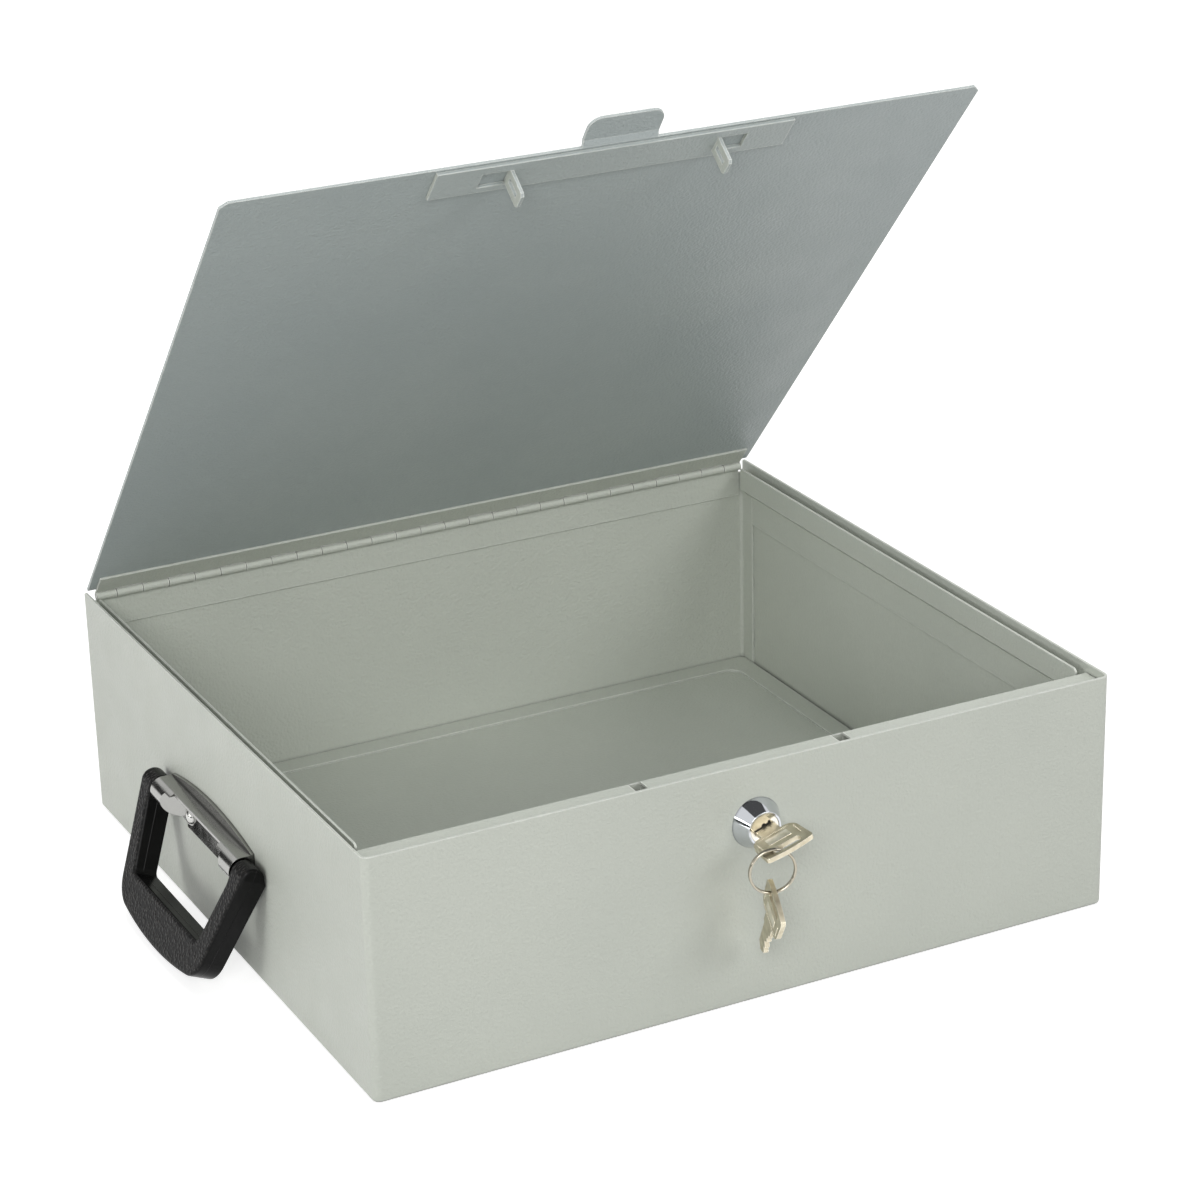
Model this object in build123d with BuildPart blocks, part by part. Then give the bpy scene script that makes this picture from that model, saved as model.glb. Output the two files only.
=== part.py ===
from build123d import *
from math import cos, radians, sin
import os

# Lockable file box, millimetres, front towards -Y, underside at Z 0, middle of the box at X 0, Y 0.
# It is drawn with the lid up, the handle hanging and the key in the lock.

# Box
WIDTH = 340.0
DEPTH = 308.0
HEIGHT = 106.0
SHEET = 1.0
CORNER_RADIUS = 3.5
BOTTOM_RADIUS = 1.6
BOTTOM_FLANGE = 11.0
PAN_GAP = 0.4
PAN_RADIUS = 8.0
SEAM_GAP = 0.15
REAR_DROP = 6.0
REAR_FLANGE = 11.0
REAR_BEND = 2.6
WALL_CORNER_RADIUS = 1.2

# Rails inside the side walls
RAIL_DROP = 2.4
RAIL_HEIGHT = 28.0
RAIL_OFFSET = 3.5
RAIL_JOGGLE_DROP = 10.0
RAIL_CORNER_RADIUS = 2.0
RAIL_FRONT_GAP = 1.5
RAIL_REAR_GAP = 5.0
RELIEF_DIAMETER = 1.8

# Front ledge
LEDGE_DROP = 4.0
LEDGE_DEPTH = 15.0
LEDGE_FRONT_FLANGE = 7.0
LEDGE_END_GAP = 0.4
LEDGE_LIP_GAP = 0.8
LEDGE_RADIUS = 0.8
SLOT_SIDE_GAP = 2.0
SLOT_FRONT_GAP = 2.2
SLOT_BULGE = 0.9

# Hinge
LID_ANGLE = 48.6
LID_GAP = 0.15
HINGE_PIN_DIAMETER = 2.0
HINGE_FIT = 0.05
LEAF_SHEET = 1.0
KNUCKLE_PITCH = 12.5
BODY_KNUCKLES = 13
END_KNUCKLE = 9.5
KNUCKLE_GAP = 0.3
BODY_LEAF_HEIGHT = 15.5
LID_LEAF_HEIGHT = 13.5
LEAF_NOTCH = 0.5

# Lid
LID_SHEET = 1.2
LID_SIDE_SETBACK = 0.5
LID_REAR_SETBACK = 3.0
LID_CHAMFER = 3.0
TAB_WIDTH = 34.0
TAB_LENGTH = 15.5
TAB_RISE = 1.4
TAB_RISE_RUN = 3.0
TAB_SLOPE = 5.0
TAB_RADIUS = 6.0

# Hasp strip and its tongues
STRIP_SHEET = 1.5
STRIP_WIDTH = 16.7
STRIP_END = 33.5
STRIP_FRONT_GAP = 0.3
TONGUE_SPACING = 93.0
TONGUE_WIDTH = 9.0
TONGUE_INSET = 4.4
TONGUE_END = 3.2
TONGUE_CHAMFER = 1.2

# Lock bar and its guides
BAR_SHEET = 1.5
BAR_TOP_GAP = 0.4
BAR_END = 15.5
BAR_RAIL = 2.65
BAR_WEB = 1.0
NOSE_DROP = 0.4
NOSE_HEIGHT = 3.8
NOSE_LENGTH = 6.2
NOSE_REACH = 1.35
NOSE_ROOM_ABOVE = 3.0
NOSE_ROOM_BELOW = 0.85
NOSE_ROOM_SIDE = 0.6
TONGUE_TIP_GAP = 0.5
TONGUE_WINDOW = 9.0
FORK_WALL = 4.0
FORK_ROOF = 0.9
FORK_GAP = 1.9
FORK_HOLD = 1.7
STUD_PLAY = 0.4
STUD_ROOM = 0.8
GUIDE_SHEET = 1.0
GUIDE_WIDTH = 10.0
GUIDE_SPACING = 50.0
GUIDE_GAP = 0.2
GUIDE_FOOT = 5.0

# Lock
HEAD_BASE_DIAMETER = 22.0
HEAD_FACE_DIAMETER = 14.6
HEAD_HEIGHT = 7.3
HEAD_ROUND = 0.3
BODY_DIAMETER = 16.0
BODY_FLAT = 14.0
BODY_LENGTH = 16.0
BODY_FIT = 0.1
PLUG_DIAMETER = 11.6
PLUG_FIT = 0.05
PLUG_FACE_DIAMETER = 12.9
PLUG_FACE_DEPTH = 1.2
PLUG_FACE_RECESS = 0.3
TAIL_SIZE = 6.0
TAIL_SHORT = 0.1
NUT_ACROSS = 19.0
NUT_THICKNESS = 3.5
CAM_THICKNESS = 1.9
CAM_GAP = 0.15
CAM_HUB_RADIUS = 7.0
CAM_TIP_RADIUS = 3.0
CAM_STUD_DIAMETER = 4.0
CAM_STUD_GAP = 0.25
CAM_REST_ANGLE = 45.0
SCREW_DIAMETER = 3.0
SCREW_LENGTH = 6.0
SCREW_ROOM = 1.0
SCREW_HEAD_DIAMETER = 6.5
SCREW_HEAD_HEIGHT = 1.4

# Keys and their ring
KEY_TILT = 17.0
KEY_SHEET = 2.0
KEY_FIT = 0.12
KEY_FACE_GAP = 0.1
BLADE_WIDTH = 6.6
BLADE_LENGTH = 16.0
BLADE_TIP = 2.4
SHANK_LENGTH = 5.5
SHANK_WIDTH = 8.8
BOW_WIDTH = 22.0
BOW_NEAR_WIDTH = 20.0
BOW_DEPTH = 16.0
BOW_BULGE = 1.0
BOW_NEAR_RADIUS = 4.5
BOW_FAR_RADIUS = 1.5
EYE_LENGTH = 13.0
EYE_WIDTH = 3.6
EYE_EDGE = 1.9
CUT_DEPTHS = (0.7, 1.5, 1.0)
CUT_PITCH = 3.6
RING_RADIUS = 9.4
RING_WIRE = 1.1
RING_PITCH = 0.85
RING_TURN = -13.0
RING_GAP = 0.25
RING_SIDE_SHIFT = 0.5
SPARE_TURN = -13.0
SPARE_LEAN = 32.0

# Handle on the left wall
HANDLE_Y = 5.0
HANDLE_AXIS_Z = 53.0
HANDLE_ANGLE = 23.8
BARREL_DIAMETER = 11.5
BARREL_WALL_GAP = 0.2
BRACKET_LENGTH = 90.0
BRACKET_SHEET = 1.5
BRACKET_DROP = 10.5
BRACKET_ARCH = 11.0
BRACKET_RISE = 6.0
BRACKET_RADIUS = 5.0
POCKET_END = 20.0
FLARE_END = 11.5
EAVE_REACH = 1.6
RIVET_INSET = 4.5
RIVET_DROP = 4.1
RIVET_DIAMETER = 4.0
RIVET_HEAD_DIAMETER = 7.5
RIVET_HEAD_HEIGHT = 2.2
RIVET_TAIL_HEIGHT = 1.6
RIVET_SHOULDER = 0.625
RIVET_CROWN = 0.7
TRUNNION_FIT = 0.06
TRUNNION_LENGTH = 9.0
TRUNNION_END_GAP = 0.5
GRIP_GAP = 0.5
GRIP_WALL_GAP = 0.3
GRIP_THICKNESS = 11.7
GRIP_TAPER = 1.5
GRIP_ROUND = 5.4
GRIP_ARM = 11.7
GRIP_INSET = 12.7
GRIP_DROP = 55.0
GRIP_BOW = 5.0
GRIP_BAR = 18.5
OPENING_INSET = 9.0
OPENING_RADIUS = 3.0
GRIP_CORNER_RADIUS = 14.0
GRIP_EDGE = 1.4

# Places worked out from the sizes
LEFT = -WIDTH / 2
FRONT = -DEPTH / 2
REAR = DEPTH / 2
INNER_SIDE = WIDTH / 2 - SHEET
INNER_FRONT = FRONT + SHEET
INNER_REAR = REAR - SHEET
REAR_TOP = HEIGHT - REAR_DROP
FLANGE_SIDE = WIDTH / 2 - BOTTOM_FLANGE
LEDGE_TOP = HEIGHT - LEDGE_DROP
LEDGE_UNDER = LEDGE_TOP - SHEET
LEDGE_REAR = INNER_FRONT + LEDGE_DEPTH
KNUCKLE_RADIUS = HINGE_PIN_DIAMETER / 2 + LEAF_SHEET
HINGE_Y = INNER_REAR - KNUCKLE_RADIUS
HINGE_Z = HEIGHT + LID_GAP - KNUCKLE_RADIUS
KNUCKLE_SPAN = (2 * BODY_KNUCKLES - 1) * KNUCKLE_PITCH
HINGE_LENGTH = KNUCKLE_SPAN + 2 * END_KNUCKLE
LID_FRONT = FRONT - HINGE_Y
STRIP_FRONT = INNER_FRONT + STRIP_FRONT_GAP - HINGE_Y
TONGUE_FRONT = STRIP_FRONT + TONGUE_INSET
TONGUE_BACK = TONGUE_FRONT + TONGUE_WIDTH
TONGUE_MIDDLE = TONGUE_FRONT + TONGUE_WIDTH / 2
BAR_Y = HINGE_Y + TONGUE_MIDDLE
BAR_FRONT = BAR_Y - BAR_SHEET / 2
BAR_BACK = BAR_Y + BAR_SHEET / 2
BAR_TOP = LEDGE_UNDER - BAR_TOP_GAP
NOSE_TOP = BAR_TOP - NOSE_DROP
NOSE_BOTTOM = NOSE_TOP - NOSE_HEIGHT
TONGUE_TIP = NOSE_BOTTOM - NOSE_ROOM_BELOW - TONGUE_END
NOTCH_BOTTOM = TONGUE_TIP - TONGUE_TIP_GAP
BAR_BOTTOM = NOTCH_BOTTOM - BAR_RAIL
CAM_THROW = SCREW_HEAD_DIAMETER / 2 + CAM_STUD_GAP + CAM_STUD_DIAMETER / 2
FORK_TOP = BAR_BOTTOM - FORK_ROOF
LOCK_Z = FORK_TOP - STUD_ROOM - CAM_STUD_DIAMETER / 2 - CAM_THROW
BAR_SHIFT = CAM_THROW * sin(radians(CAM_REST_ANGLE))
STUD_Z = LOCK_Z + CAM_THROW * cos(radians(CAM_REST_ANGLE))
HEAD_FACE = FRONT - HEAD_HEIGHT
PLUG_FACE = HEAD_FACE + PLUG_FACE_RECESS
BODY_REAR = INNER_FRONT + BODY_LENGTH
CAM_FRONT = BODY_REAR + CAM_GAP
CAM_REAR = CAM_FRONT + CAM_THICKNESS
FORK_FRONT = CAM_REAR + FORK_GAP
FORK_REAR = FORK_FRONT + BAR_SHEET
EYE_Y = EYE_EDGE + EYE_WIDTH / 2 - SHANK_LENGTH - BOW_DEPTH
HANDLE_X = LEFT - BARREL_WALL_GAP - BARREL_DIAMETER / 2
GRIP_INNER = BRACKET_LENGTH / 2 + GRIP_GAP
GRIP_OUTER = GRIP_INNER + GRIP_ARM
PLUG_START = GRIP_INNER - TRUNNION_LENGTH - TRUNNION_END_GAP
POCKET_INNER = BRACKET_LENGTH - 2 * POCKET_END
POCKET_OUTER = BRACKET_LENGTH - 2 * FLARE_END
RIVET_SPACING = POCKET_INNER - 2 * RIVET_INSET
GRIP_BACK = (LEFT - HANDLE_X - GRIP_WALL_GAP) / cos(radians(HANDLE_ANGLE))
GRIP_FRONT = GRIP_THICKNESS - GRIP_BACK
RIVETS = [(LEFT, HANDLE_Y + side * RIVET_SPACING / 2, HANDLE_AXIS_Z - RIVET_DROP) for side in (-1, 1)]
TONGUES = (-TONGUE_SPACING / 2, TONGUE_SPACING / 2)

# Frames that lean with the lid, the handle, the key and the ring
lid_turn = radians(LID_ANGLE)
lid_frame = Plane(origin=(0, HINGE_Y, HINGE_Z), x_dir=(1, 0, 0), z_dir=(0, sin(lid_turn), cos(lid_turn)))
lid_side = Plane(origin=lid_frame.origin, x_dir=lid_frame.y_dir, z_dir=(1, 0, 0))

handle_turn = radians(HANDLE_ANGLE)
handle_out = (-cos(handle_turn), 0, sin(handle_turn))
grip_frame = Plane(origin=(HANDLE_X, HANDLE_Y, HANDLE_AXIS_Z), x_dir=(0, -1, 0), z_dir=handle_out)
grip_side = Plane(origin=grip_frame.origin, x_dir=handle_out, z_dir=(0, 1, 0))

key_turn = radians(KEY_TILT)
key_across = (cos(key_turn), 0, sin(key_turn))
key_frame = Plane(origin=(0, PLUG_FACE, LOCK_Z), x_dir=key_across, z_dir=(-sin(key_turn), 0, cos(key_turn)))

ring_turn = radians(RING_TURN)
ring_hang = RING_RADIUS - RING_WIRE / 2
ring_seat = key_frame.from_local_coords(Vector(-EYE_LENGTH / 2, EYE_Y + RING_SIDE_SHIFT, KEY_SHEET / 2))
ring_middle = ring_seat - Vector(0, 0, ring_hang - RING_GAP)
ring_frame = Plane(origin=ring_middle, x_dir=(cos(ring_turn), sin(ring_turn), 0), z_dir=(0, 0, 1))

spare_turn = radians(SPARE_TURN)
spare_lean = radians(SPARE_LEAN)
spare_ahead = Vector(sin(spare_turn), -cos(spare_turn), 0)
spare_across = spare_ahead * cos(spare_lean) - Vector(0, 0, sin(spare_lean))
spare_trial = Plane(origin=(0, 0, 0), x_dir=spare_across, z_dir=(cos(spare_turn), sin(spare_turn), 0))
spare_eye = spare_trial.from_local_coords(Vector(EYE_WIDTH / 2 - EYE_LENGTH / 2, EYE_Y, 0))
spare_seat = ring_middle - Vector(0, 0, ring_hang - RING_GAP + EYE_WIDTH / 2)
spare_frame = Plane(origin=spare_seat - spare_eye, x_dir=spare_across, z_dir=spare_trial.z_dir)


def add_block(x, y, z, mode=Mode.ADD):
    """Add or cut a block in the open part, each axis given as its low and high value."""
    with Locations(((x[0] + x[1]) / 2, (y[0] + y[1]) / 2, (z[0] + z[1]) / 2)):
        Box(x[1] - x[0], y[1] - y[0], z[1] - z[0], mode=mode)


def cut_rivet_holes():
    with Locations(*[Location(place, (0, 90, 0)) for place in RIVETS]):
        Cylinder(RIVET_DIAMETER / 2, 6 * BRACKET_SHEET, mode=Mode.SUBTRACT)


def front_plane(y):
    """A plane that faces the front, with its own X to the right and its own Y up."""
    return Plane(origin=(0, y, 0), x_dir=(1, 0, 0), z_dir=(0, -1, 0))


# Outer shell: left wall, front and right wall folded from one sheet, with turned-in bottom flanges
with BuildPart() as outer_shell:
    with BuildSketch():
        with Locations((0, SHEET)):
            Rectangle(WIDTH, DEPTH + 2 * SHEET)
        fillet(vertices().group_by(Axis.Y)[0], CORNER_RADIUS)
    extrude(amount=HEIGHT)
    folds = outer_shell.edges().group_by(Axis.Z)[0].filter_by(lambda e: e.center().Y < REAR)
    fillet(folds, BOTTOM_RADIUS)
    with BuildSketch(Plane.XY.offset(SHEET)):
        with Locations((0, 2 * SHEET)):
            Rectangle(WIDTH - 2 * SHEET, DEPTH + 2 * SHEET)
        fillet(vertices().group_by(Axis.Y)[0], CORNER_RADIUS - SHEET)
    extrude(amount=HEIGHT, mode=Mode.SUBTRACT)
    well = (FRONT + BOTTOM_FLANGE, REAR + 3 * SHEET)
    add_block((-FLANGE_SIDE, FLANGE_SIDE), well, (-SHEET, 2 * SHEET), Mode.SUBTRACT)
    add_block((-WIDTH, WIDTH), (REAR, REAR + 5 * SHEET), (-SHEET, 2 * HEIGHT), Mode.SUBTRACT)
    ends = outer_shell.edges().filter_by(Axis.X).group_by(Axis.Z)[-1].group_by(Axis.Y)[-1]
    fillet(ends, WALL_CORNER_RADIUS)
    with Locations(Location((0, FRONT, LOCK_Z), (90, 0, 0))):
        Cylinder(BODY_DIAMETER / 2 + BODY_FIT, 4 * SHEET, mode=Mode.SUBTRACT)
    cut_rivet_holes()
outer_shell.part.label = "outer_shell"

# Floor panel: its rim lies on the flanges, and its middle is pressed down level with them
with BuildPart() as floor_panel:
    with BuildSketch(Plane.XY.offset(SHEET)):
        Rectangle(2 * (INNER_SIDE - SHEET - SEAM_GAP), 2 * (INNER_REAR - SEAM_GAP))
        fillet(vertices(), CORNER_RADIUS)
    extrude(amount=SHEET)
    pan = (2 * (FLANGE_SIDE - PAN_GAP), DEPTH - 2 * (BOTTOM_FLANGE + PAN_GAP))
    with BuildSketch():
        RectangleRounded(*pan, PAN_RADIUS)
    extrude(amount=2 * SHEET)
    with BuildSketch(Plane.XY.offset(SHEET)):
        RectangleRounded(pan[0] - 2 * SHEET, pan[1] - 2 * SHEET, PAN_RADIUS - SHEET)
    extrude(amount=SHEET, mode=Mode.SUBTRACT)
floor_panel.part.label = "floor_panel"

# Rear wall, lower than the sides, with side flanges inside the side walls and a bottom flange
with BuildPart() as rear_wall:
    with BuildSketch(Plane.XY.offset(SHEET)):
        with Locations((0, REAR - REAR_FLANGE)):
            Rectangle(2 * INNER_SIDE, 2 * REAR_FLANGE)
        fillet(vertices().group_by(Axis.Y)[-1], REAR_BEND)
        with Locations((0, INNER_REAR - 2 * REAR_FLANGE)):
            hollow = (2 * (INNER_SIDE - SHEET), 4 * REAR_FLANGE)
            RectangleRounded(*hollow, REAR_BEND - SHEET, mode=Mode.SUBTRACT)
        with Locations((0, REAR - 2 * REAR_FLANGE)):
            Rectangle(WIDTH, 2 * REAR_FLANGE, mode=Mode.SUBTRACT)
    extrude(amount=REAR_TOP - SHEET)
    flange_half = FLANGE_SIDE - SEAM_GAP
    add_block((-flange_half, flange_half), (REAR - REAR_FLANGE, REAR), (0, SHEET))
    reliefs = [(x, REAR - REAR_FLANGE / 2, REAR_TOP - RELIEF_DIAMETER) for x in (-INNER_SIDE, INNER_SIDE)]
    with Locations(*[Location(place, (0, 90, 0)) for place in reliefs]):
        Cylinder(RELIEF_DIAMETER / 2, 4 * SHEET, mode=Mode.SUBTRACT)
rear_wall.part.label = "rear_wall"


def rail(side):
    """A joggled rail inside a side wall: side is -1 on the left and 1 on the right."""
    top = HEIGHT - RAIL_DROP
    bottom = top - RAIL_HEIGHT
    bend = top - RAIL_JOGGLE_DROP
    lean = SHEET / 2
    outer = (INNER_SIDE, INNER_SIDE - RAIL_OFFSET)
    inner = (outer[0] - SHEET, outer[1] - SHEET)
    profile = [
        (outer[0], bottom),
        (outer[0], bend - RAIL_OFFSET),
        (outer[1], bend),
        (outer[1], top),
        (inner[1], top),
        (inner[1], bend - lean),
        (inner[0], bend - RAIL_OFFSET - lean),
        (inner[0], bottom),
    ]
    start = LEDGE_REAR + RAIL_FRONT_GAP
    with BuildPart() as strip:
        with BuildSketch(front_plane(start)):
            with BuildLine():
                Polyline(*[(side * x, z) for x, z in profile], close=True)
            make_face()
        extrude(amount=start - INNER_REAR + RAIL_REAR_GAP)
        leg = sorted((side * (inner[0] - SEAM_GAP), side * WIDTH))
        add_block(leg, (REAR - REAR_FLANGE - SEAM_GAP, REAR), (0, HEIGHT), Mode.SUBTRACT)
        corner = strip.edges().filter_by(Axis.X).group_by(Axis.Z)[-1].sort_by(Axis.Y)[0]
        fillet(corner, RAIL_CORNER_RADIUS)
    return strip


left_rail = rail(-1)
left_rail.part.label = "left_rail"
right_rail = rail(1)
right_rail.part.label = "right_rail"

# Front ledge: a channel under the rim, with a slot for each tongue and a bulged rear lip behind it
with BuildPart() as front_ledge:
    ledge_half = INNER_SIDE - LEDGE_END_GAP
    lip_bottom = BAR_BOTTOM + BAR_WEB + LEDGE_LIP_GAP
    flange_half = ledge_half - CORNER_RADIUS
    with BuildSketch(Plane.XY.offset(LEDGE_UNDER)):
        with Locations((0, INNER_FRONT + LEDGE_DEPTH / 2)):
            Rectangle(2 * ledge_half, LEDGE_DEPTH)
        fillet(vertices().group_by(Axis.Y)[0], CORNER_RADIUS - SHEET)
    extrude(amount=SHEET)
    add_block((-ledge_half, ledge_half), (LEDGE_REAR - SHEET, LEDGE_REAR), (lip_bottom, LEDGE_TOP))
    flange_z = (LEDGE_TOP - LEDGE_FRONT_FLANGE, LEDGE_TOP)
    add_block((-flange_half, flange_half), (INNER_FRONT, INNER_FRONT + SHEET), flange_z)
    rim = front_ledge.edges().filter_by(Axis.X).group_by(Axis.Z)[-1].sort_by(Axis.Y)[-1]
    fillet(rim, LEDGE_RADIUS)
    for middle in TONGUES:
        slot = STRIP_SHEET / 2 + SLOT_SIDE_GAP
        bulge_x = (middle - slot - SHEET, middle + slot + SHEET)
        bulge_y = (LEDGE_REAR - SHEET / 2, LEDGE_REAR + SLOT_BULGE)
        add_block(bulge_x, bulge_y, (lip_bottom, LEDGE_TOP - LEDGE_RADIUS))
        slot_front = HINGE_Y + TONGUE_FRONT - SLOT_FRONT_GAP
        slot_span = (slot_front, LEDGE_REAR + SLOT_BULGE - SHEET)
        add_block((middle - slot, middle + slot), slot_span, (lip_bottom - SHEET, HEIGHT), Mode.SUBTRACT)
front_ledge.part.label = "front_ledge"


def hinge_leaf(plane, height, first):
    """A leaf with its barrel on the plane's axis: first is 0 for the lid's knuckles, 1 for the wall's."""
    ends = [-HINGE_LENGTH / 2]
    ends += [KNUCKLE_PITCH * i - KNUCKLE_SPAN / 2 for i in range(2 * BODY_KNUCKLES)]
    ends += [HINGE_LENGTH / 2]
    leaf_x = KNUCKLE_RADIUS - LEAF_SHEET / 2
    leaf_top = KNUCKLE_RADIUS + LEAF_NOTCH
    with BuildPart() as leaf:
        with BuildSketch(plane.offset(KNUCKLE_GAP / 2 - HINGE_LENGTH / 2)):
            with Locations((leaf_x, -(leaf_top + height) / 2)):
                Rectangle(LEAF_SHEET, height - leaf_top)
        extrude(amount=HINGE_LENGTH - KNUCKLE_GAP)
        for start, end in list(zip(ends, ends[1:]))[first::2]:
            with BuildSketch(plane.offset(start + KNUCKLE_GAP / 2)):
                Circle(KNUCKLE_RADIUS)
                with Locations((leaf_x, -(leaf_top + LEAF_NOTCH) / 2)):
                    Rectangle(LEAF_SHEET, leaf_top + LEAF_NOTCH)
                Circle(HINGE_PIN_DIAMETER / 2 + HINGE_FIT, mode=Mode.SUBTRACT)
            extrude(amount=end - start - KNUCKLE_GAP)
    return leaf


hinge_axis = Plane(origin=lid_frame.origin, x_dir=(0, 1, 0), z_dir=(1, 0, 0))
body_hinge_leaf = hinge_leaf(hinge_axis, BODY_LEAF_HEIGHT, 1)
body_hinge_leaf.part.label = "body_hinge_leaf"
lid_axis = Plane(origin=lid_frame.origin, x_dir=lid_frame.z_dir, z_dir=(-1, 0, 0))
lid_hinge_leaf = hinge_leaf(lid_axis, LID_LEAF_HEIGHT, 0)
lid_hinge_leaf.part.label = "lid_hinge_leaf"

with BuildPart(hinge_axis) as hinge_pin:
    Cylinder(HINGE_PIN_DIAMETER / 2, HINGE_LENGTH - KNUCKLE_GAP)
    chamfer(hinge_pin.edges().filter_by(GeomType.CIRCLE), 4 * HINGE_FIT)
hinge_pin.part.label = "hinge_pin"

# Lid with chamfered front corners and a raised finger tab
with BuildPart() as lid_panel:
    lid_depth = -LID_FRONT - LID_REAR_SETBACK
    lid_under = KNUCKLE_RADIUS
    lid_top = KNUCKLE_RADIUS + LID_SHEET
    with BuildSketch(lid_frame.offset(lid_under)):
        with Locations((0, LID_FRONT + lid_depth / 2)):
            Rectangle(WIDTH - 2 * LID_SIDE_SETBACK, lid_depth)
        chamfer(vertices().group_by(Axis.Y)[0], LID_CHAMFER)
    extrude(amount=LID_SHEET)
    tab_end = LID_FRONT - TAB_LENGTH
    tip_rise = TAB_RISE + (TAB_LENGTH - TAB_RISE_RUN) * sin(radians(TAB_SLOPE))
    with BuildSketch(lid_side.offset(-TAB_WIDTH / 2)):
        with BuildLine():
            Polyline(
                (LID_FRONT + SHEET, lid_under),
                (LID_FRONT, lid_under),
                (LID_FRONT - TAB_RISE_RUN, lid_under + TAB_RISE),
                (tab_end, lid_under + tip_rise),
                (tab_end, lid_top + tip_rise),
                (LID_FRONT - TAB_RISE_RUN, lid_top + TAB_RISE),
                (LID_FRONT, lid_top),
                (LID_FRONT + SHEET, lid_top),
                close=True,
            )
        make_face()
    extrude(amount=TAB_WIDTH)
    tab_face = lid_panel.faces().sort_by(Axis(lid_frame.origin, lid_frame.y_dir))[0]
    tab_corners = tab_face.edges().group_by(SortBy.LENGTH)[0]
    fillet(tab_corners, TAB_RADIUS)
lid_panel.part.label = "lid_panel"

# Hasp strip: two pierced tongues bent down out of windows in the strip
with BuildPart(lid_frame) as hasp_strip:
    strip_half = TONGUE_SPACING / 2 + STRIP_END
    strip_z = (lid_under - STRIP_SHEET, lid_under)
    tip_z = TONGUE_TIP - HINGE_Z + LID_GAP
    hole_z = (tip_z + TONGUE_END, NOSE_TOP + NOSE_ROOM_ABOVE - HINGE_Z)
    hole_half = BAR_SHEET / 2 + NOSE_ROOM_SIDE
    add_block((-strip_half, strip_half), (STRIP_FRONT, STRIP_FRONT + STRIP_WIDTH), strip_z)
    for middle in TONGUES:
        side = middle / abs(middle)
        near = middle + side * STRIP_SHEET / 2
        window = sorted((near, near + side * (lid_under - tip_z - STRIP_SHEET)))
        window_z = (lid_under - 2 * STRIP_SHEET, lid_top)
        add_block(window, (TONGUE_FRONT, TONGUE_BACK), window_z, Mode.SUBTRACT)
        tongue_x = (middle - STRIP_SHEET / 2, middle + STRIP_SHEET / 2)
        add_block(tongue_x, (TONGUE_FRONT, TONGUE_BACK), (tip_z, lid_under))
        hole_y = (TONGUE_MIDDLE - hole_half, TONGUE_MIDDLE + hole_half)
        add_block((middle - STRIP_SHEET, middle + STRIP_SHEET), hole_y, hole_z, Mode.SUBTRACT)
    tips = hasp_strip.faces().sort_by(Axis(lid_frame.origin, lid_frame.z_dir))[:2]
    chamfer([e for face in tips for e in face.edges().group_by(SortBy.LENGTH)[0]], TONGUE_CHAMFER)
hasp_strip.part.label = "hasp_strip"

# Lock housing: conical head outside, flatted body through the wall, counterbored for the plug
with BuildPart() as lock_housing:
    with BuildSketch(front_plane(FRONT)):
        with Locations((0, LOCK_Z)):
            Circle(HEAD_BASE_DIAMETER / 2)
    with BuildSketch(front_plane(HEAD_FACE)):
        with Locations((0, LOCK_Z)):
            Circle(HEAD_FACE_DIAMETER / 2)
    loft()
    face_rim = lock_housing.faces().sort_by(Axis.Y)[0].edges()
    fillet(face_rim, HEAD_ROUND)
    with BuildSketch(front_plane(BODY_REAR)):
        with Locations((0, LOCK_Z)):
            Circle(BODY_DIAMETER / 2)
            Rectangle(BODY_FLAT, BODY_DIAMETER, mode=Mode.INTERSECT)
    extrude(amount=BODY_REAR - FRONT)
    with BuildSketch(front_plane(BODY_REAR + SHEET)):
        with Locations((0, LOCK_Z)):
            Circle(PLUG_DIAMETER / 2 + PLUG_FIT)
    extrude(amount=DEPTH, mode=Mode.SUBTRACT)
    with BuildSketch(front_plane(PLUG_FACE + PLUG_FACE_DEPTH + PLUG_FIT)):
        with Locations((0, LOCK_Z)):
            Circle(PLUG_FACE_DIAMETER / 2 + PLUG_FIT)
    extrude(amount=DEPTH, mode=Mode.SUBTRACT)
lock_housing.part.label = "lock_housing"

with BuildPart() as lock_nut:
    with BuildSketch(front_plane(INNER_FRONT + NUT_THICKNESS)):
        with Locations((0, LOCK_Z)):
            RegularPolygon(NUT_ACROSS / 2, 6, major_radius=False)
            Circle(BODY_DIAMETER / 2 + BODY_FIT, mode=Mode.SUBTRACT)
    extrude(amount=NUT_THICKNESS)
lock_nut.part.label = "lock_nut"

# Plug with its wider face, keyway, square tail and tapped end
with BuildPart() as lock_plug:
    with BuildSketch(front_plane(BODY_REAR)):
        with Locations((0, LOCK_Z)):
            Circle(PLUG_DIAMETER / 2)
    extrude(amount=BODY_REAR - PLUG_FACE)
    with BuildSketch(front_plane(PLUG_FACE + PLUG_FACE_DEPTH)):
        with Locations((0, LOCK_Z)):
            Circle(PLUG_FACE_DIAMETER / 2)
    extrude(amount=PLUG_FACE_DEPTH)
    tail = TAIL_SIZE / 2
    tail_end = CAM_REAR - TAIL_SHORT
    add_block((-tail, tail), (BODY_REAR, tail_end), (LOCK_Z - tail, LOCK_Z + tail))
    with BuildSketch(front_plane(CAM_REAR)):
        with Locations((0, LOCK_Z)):
            Circle(SCREW_DIAMETER / 2)
    extrude(amount=SCREW_LENGTH + SCREW_ROOM, mode=Mode.SUBTRACT)
    with BuildSketch(Plane(origin=key_frame.origin, x_dir=key_across, z_dir=(0, 1, 0))):
        Rectangle(BLADE_WIDTH + 2 * KEY_FIT, KEY_SHEET + 2 * KEY_FIT)
    extrude(amount=BLADE_LENGTH + KEY_FIT, mode=Mode.SUBTRACT)
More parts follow.
